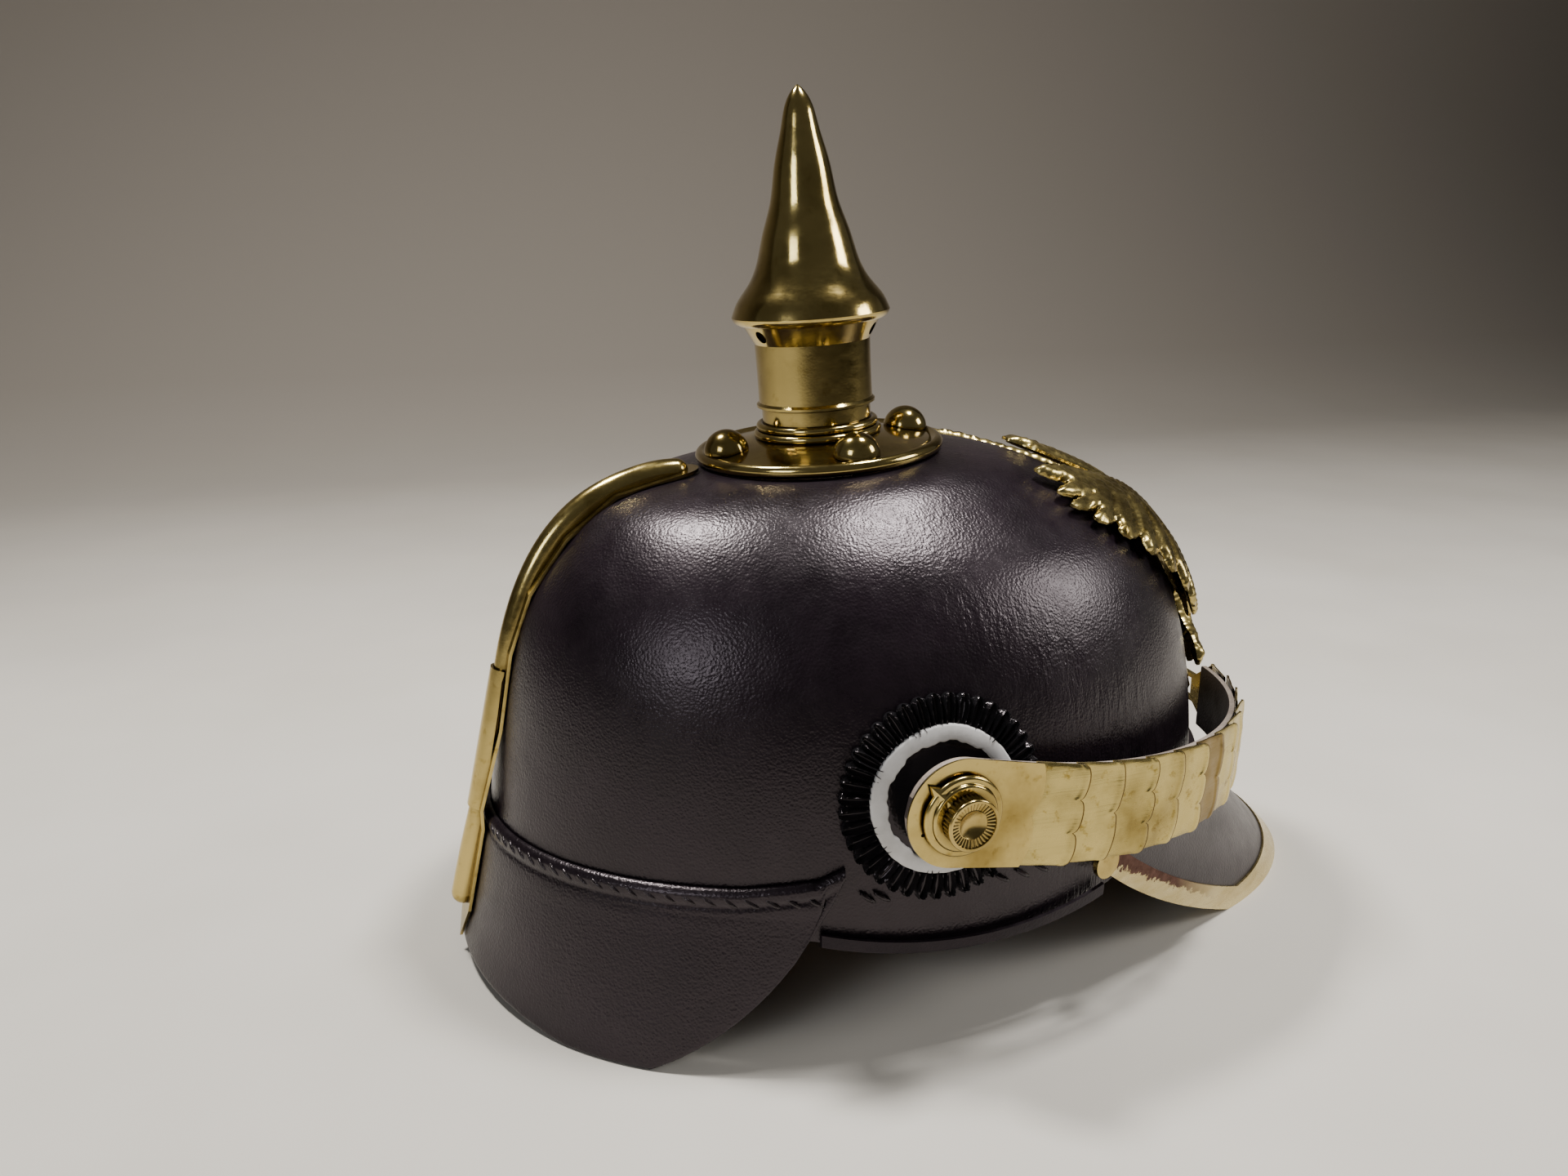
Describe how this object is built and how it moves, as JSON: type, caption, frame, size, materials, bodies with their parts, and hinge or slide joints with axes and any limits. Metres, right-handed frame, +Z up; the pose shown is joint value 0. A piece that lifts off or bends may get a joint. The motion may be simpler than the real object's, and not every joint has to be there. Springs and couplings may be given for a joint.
{
  "type": "spiked leather helmet",
  "caption": "Leather helmet with brass spike, winged front plate, rear spine, cockades and chin scales.",
  "frame": {"origin": "on the table plane, at the middle of the helmet's length and width", "axes": "+X to the front of the helmet, +Y to the wearer's left, +Z up from the table it stands on"},
  "size_m": [0.2958, 0.2086, 0.2504],
  "materials": {
    "brass": "polished, lightly worn",
    "inner_metal": "dull",
    "black_leather": "satin, pebbled",
    "waxed_thread": "waxed",
    "liner_leather": "matt",
    "strap_leather": "matt, pale cut edge",
    "cockade_black": "lacquered, pleated",
    "cockade_white": "matt white"
  },
  "bodies": {
    "helmet": {"skull": "black_leather", "neck_guard": "black_leather", "front_visor": "black_leather", "neck_guard_stitching": "waxed_thread", "front_visor_stitching": "waxed_thread", "side_stitching": "waxed_thread", "front_visor_trim": "brass", "visor_trim_studs": "brass", "side_bindings": "black_leather", "sweatband": "liner_leather", "liner_tongues": "liner_leather", "rear_spine": "brass", "spike_base": "brass", "spike_base_studs": "brass", "spike_base_washers": "inner_metal", "front_plate": "brass", "inner_nuts": "inner_metal", "right_cockade": "cockade_black", "right_cockade_ring": "cockade_white", "right_post_ring": "brass", "right_post_screw": "brass", "left_cockade": "cockade_black", "left_cockade_ring": "cockade_white", "left_post_ring": "brass", "left_post_screw": "brass"},
    "spike": {"spike_point": "brass", "spike_vent_band": "brass", "spike_neck": "brass"},
    "vent_slide": {"vent_slide": "brass"},
    "right_strap": {"right_end_plate": "brass", "right_strap_leather": "strap_leather"},
    "right_link_01": {"right_scale_01": "brass"},
    "right_link_02": {"right_scale_02": "brass"},
    "right_link_03": {"right_scale_03": "brass"},
    "right_link_04": {"right_scale_04": "brass"},
    "right_link_05": {"right_scale_05": "brass"},
    "right_link_06": {"right_scale_06": "brass"},
    "right_link_07": {"right_scale_07": "brass"},
    "right_link_08": {"right_scale_08": "brass"},
    "right_link_09": {"right_scale_09": "brass"},
    "right_link_10": {"right_scale_10": "brass"},
    "right_link_11": {"right_scale_11": "brass"},
    "right_link_12": {"right_scale_12": "brass"},
    "right_clasp": {"right_strap_loop": "brass"},
    "left_strap": {"left_end_plate": "brass", "left_strap_leather": "strap_leather"},
    "left_link_01": {"left_scale_01": "brass"},
    "left_link_02": {"left_scale_02": "brass"},
    "left_link_03": {"left_scale_03": "brass"},
    "left_link_04": {"left_scale_04": "brass"},
    "left_link_05": {"left_scale_05": "brass"},
    "left_link_06": {"left_scale_06": "brass"},
    "left_link_07": {"left_scale_07": "brass"},
    "left_link_08": {"left_scale_08": "brass"},
    "left_link_09": {"left_scale_09": "brass"},
    "left_link_10": {"left_scale_10": "brass"},
    "left_link_11": {"left_scale_11": "brass"},
    "left_link_12": {"left_scale_12": "brass"},
    "left_clasp": {"left_strap_hook": "brass"}
  },
  "joints": [
    {"name": "spike_lift", "type": "slide", "parent": "helmet", "child": "spike", "axis": [-0.0746, 0, 0.9972], "range_m": [0, 0.04]},
    {"name": "vent_slide_up", "type": "slide", "parent": "helmet", "child": "vent_slide", "axis": [0.2211, 0, 0.9753], "range_m": [0, 0.009]},
    {"name": "right_strap_swing", "type": "hinge", "parent": "helmet", "child": "right_strap", "pos_m": [-0.0298, -0.0955, 0.072], "axis": [0, -1, 0], "range_deg": [0, 60]},
    {"name": "right_hinge_01", "type": "hinge", "parent": "right_strap", "child": "right_link_01", "pos_m": [-0.0098, -0.0955, 0.06791], "axis": [0, 0, -1], "range_deg": [0, 0.355]},
    {"name": "right_hinge_02", "type": "hinge", "parent": "right_link_01", "child": "right_link_02", "pos_m": [0.0028, -0.09542, 0.06581], "axis": [0, 0, -1], "range_deg": [0, 4.25]},
    {"name": "right_hinge_03", "type": "hinge", "parent": "right_link_02", "child": "right_link_03", "pos_m": [0.01535, -0.09441, 0.06402], "axis": [0, 0, -1], "range_deg": [0, 5.37]},
    {"name": "right_hinge_04", "type": "hinge", "parent": "right_link_03", "child": "right_link_04", "pos_m": [0.02776, -0.09223, 0.06248], "axis": [0, 0, -1], "range_deg": [0, 5.47]},
    {"name": "right_hinge_05", "type": "hinge", "parent": "right_link_04", "child": "right_link_05", "pos_m": [0.0399, -0.08888, 0.06117], "axis": [0, 0, -1], "range_deg": [0, 5.65]},
    {"name": "right_hinge_06", "type": "hinge", "parent": "right_link_05", "child": "right_link_06", "pos_m": [0.05165, -0.08435, 0.06005], "axis": [0, 0, -1], "range_deg": [0, 5.88]},
    {"name": "right_hinge_07", "type": "hinge", "parent": "right_link_06", "child": "right_link_07", "pos_m": [0.06288, -0.07864, 0.0591], "axis": [0, 0, -1], "range_deg": [0, 6.18]},
    {"name": "right_hinge_08", "type": "hinge", "parent": "right_link_07", "child": "right_link_08", "pos_m": [0.07342, -0.07176, 0.05828], "axis": [0, 0, -1], "range_deg": [0, 6.54]},
    {"name": "right_hinge_09", "type": "hinge", "parent": "right_link_08", "child": "right_link_09", "pos_m": [0.08311, -0.06372, 0.05759], "axis": [0, 0, -1], "range_deg": [0, 6.96]},
    {"name": "right_hinge_10", "type": "hinge", "parent": "right_link_09", "child": "right_link_10", "pos_m": [0.09176, -0.05456, 0.05699], "axis": [0, 0, -1], "range_deg": [0, 7.43]},
    {"name": "right_hinge_11", "type": "hinge", "parent": "right_link_10", "child": "right_link_11", "pos_m": [0.09915, -0.04437, 0.05648], "axis": [0, 0, -1], "range_deg": [0, 7.91]},
    {"name": "right_hinge_12", "type": "hinge", "parent": "right_link_11", "child": "right_link_12", "pos_m": [0.10507, -0.03326, 0.05605], "axis": [0, 0, -1], "range_deg": [0, 8.36]},
    {"name": "right_hinge_13", "type": "hinge", "parent": "right_link_12", "child": "right_clasp", "pos_m": [0.1093, -0.0214, 0.05568], "axis": [0, 0, -1], "range_deg": [0, 11.82], "deforming": ["right_strap_leather"]},
    {"name": "left_strap_swing", "type": "hinge", "parent": "helmet", "child": "left_strap", "pos_m": [-0.0298, 0.0955, 0.072], "axis": [0, -1, 0], "range_deg": [0, 60]},
    {"name": "left_hinge_01", "type": "hinge", "parent": "left_strap", "child": "left_link_01", "pos_m": [-0.0098, 0.0955, 0.06791], "axis": [0, 0, 1], "range_deg": [0, 0.355]},
    {"name": "left_hinge_02", "type": "hinge", "parent": "left_link_01", "child": "left_link_02", "pos_m": [0.0028, 0.09542, 0.06581], "axis": [0, 0, 1], "range_deg": [0, 4.25]},
    {"name": "left_hinge_03", "type": "hinge", "parent": "left_link_02", "child": "left_link_03", "pos_m": [0.01535, 0.09441, 0.06402], "axis": [0, 0, 1], "range_deg": [0, 5.37]},
    {"name": "left_hinge_04", "type": "hinge", "parent": "left_link_03", "child": "left_link_04", "pos_m": [0.02776, 0.09223, 0.06248], "axis": [0, 0, 1], "range_deg": [0, 5.47]},
    {"name": "left_hinge_05", "type": "hinge", "parent": "left_link_04", "child": "left_link_05", "pos_m": [0.0399, 0.08888, 0.06117], "axis": [0, 0, 1], "range_deg": [0, 5.65]},
    {"name": "left_hinge_06", "type": "hinge", "parent": "left_link_05", "child": "left_link_06", "pos_m": [0.05165, 0.08435, 0.06005], "axis": [0, 0, 1], "range_deg": [0, 5.88]},
    {"name": "left_hinge_07", "type": "hinge", "parent": "left_link_06", "child": "left_link_07", "pos_m": [0.06288, 0.07864, 0.0591], "axis": [0, 0, 1], "range_deg": [0, 6.18]},
    {"name": "left_hinge_08", "type": "hinge", "parent": "left_link_07", "child": "left_link_08", "pos_m": [0.07342, 0.07176, 0.05828], "axis": [0, 0, 1], "range_deg": [0, 6.54]},
    {"name": "left_hinge_09", "type": "hinge", "parent": "left_link_08", "child": "left_link_09", "pos_m": [0.08311, 0.06372, 0.05759], "axis": [0, 0, 1], "range_deg": [0, 6.96]},
    {"name": "left_hinge_10", "type": "hinge", "parent": "left_link_09", "child": "left_link_10", "pos_m": [0.09176, 0.05456, 0.05699], "axis": [0, 0, 1], "range_deg": [0, 7.43]},
    {"name": "left_hinge_11", "type": "hinge", "parent": "left_link_10", "child": "left_link_11", "pos_m": [0.09915, 0.04437, 0.05648], "axis": [0, 0, 1], "range_deg": [0, 7.91]},
    {"name": "left_hinge_12", "type": "hinge", "parent": "left_link_11", "child": "left_link_12", "pos_m": [0.10507, 0.03326, 0.05605], "axis": [0, 0, 1], "range_deg": [0, 8.36]},
    {"name": "left_hinge_13", "type": "hinge", "parent": "left_link_12", "child": "left_clasp", "pos_m": [0.1093, 0.0214, 0.05568], "axis": [0, 0, 1], "range_deg": [0, 11.82], "deforming": ["left_strap_leather"]}
  ],
  "couplings": [
    {"joint": "right_hinge_01", "follows": "right_hinge_13", "ratio": 0.02992},
    {"joint": "right_hinge_02", "follows": "right_hinge_13", "ratio": 0.35909},
    {"joint": "right_hinge_03", "follows": "right_hinge_13", "ratio": 0.45386},
    {"joint": "right_hinge_04", "follows": "right_hinge_13", "ratio": 0.46314},
    {"joint": "right_hinge_05", "follows": "right_hinge_13", "ratio": 0.47758},
    {"joint": "right_hinge_06", "follows": "right_hinge_13", "ratio": 0.49738},
    {"joint": "right_hinge_07", "follows": "right_hinge_13", "ratio": 0.52268},
    {"joint": "right_hinge_08", "follows": "right_hinge_13", "ratio": 0.55342},
    {"joint": "right_hinge_09", "follows": "right_hinge_13", "ratio": 0.58909},
    {"joint": "right_hinge_10", "follows": "right_hinge_13", "ratio": 0.62846},
    {"joint": "right_hinge_11", "follows": "right_hinge_13", "ratio": 0.66916},
    {"joint": "right_hinge_12", "follows": "right_hinge_13", "ratio": 0.70749},
    {"joint": "left_hinge_01", "follows": "left_hinge_13", "ratio": 0.02992},
    {"joint": "left_hinge_02", "follows": "left_hinge_13", "ratio": 0.35909},
    {"joint": "left_hinge_03", "follows": "left_hinge_13", "ratio": 0.45386},
    {"joint": "left_hinge_04", "follows": "left_hinge_13", "ratio": 0.46314},
    {"joint": "left_hinge_05", "follows": "left_hinge_13", "ratio": 0.47758},
    {"joint": "left_hinge_06", "follows": "left_hinge_13", "ratio": 0.49738},
    {"joint": "left_hinge_07", "follows": "left_hinge_13", "ratio": 0.52268},
    {"joint": "left_hinge_08", "follows": "left_hinge_13", "ratio": 0.55342},
    {"joint": "left_hinge_09", "follows": "left_hinge_13", "ratio": 0.58909},
    {"joint": "left_hinge_10", "follows": "left_hinge_13", "ratio": 0.62846},
    {"joint": "left_hinge_11", "follows": "left_hinge_13", "ratio": 0.66916},
    {"joint": "left_hinge_12", "follows": "left_hinge_13", "ratio": 0.70749}
  ]
}
